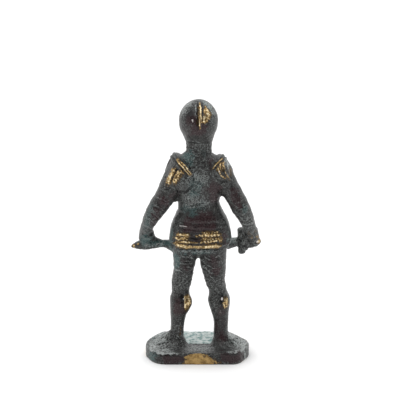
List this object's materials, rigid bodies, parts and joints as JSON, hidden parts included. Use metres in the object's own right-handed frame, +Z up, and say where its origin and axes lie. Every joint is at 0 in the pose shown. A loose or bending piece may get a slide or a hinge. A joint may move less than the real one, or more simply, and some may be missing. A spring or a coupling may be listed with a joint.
{
  "type": "medieval knight statue",
  "caption": "Pocket-size cast metal knight in plate armour, standing on a low eight-sided plinth and holding a sword level across the hips.",
  "frame": {"origin": "centre of the plinth's underside", "axes": "+Z up; the knight faces -Y; +X towards the figure's left hand, along the plinth's length and the sword"},
  "size_m": [0.0187, 0.0088, 0.04],
  "materials": {
    "patinated_brass": "dark green-black patina over cast brass, rubbed through to bright metal on the high spots, with pale verdigris in places"
  },
  "bodies": {
    "root": {"knight_statue": "patinated_brass"}
  },
  "joints": []
}
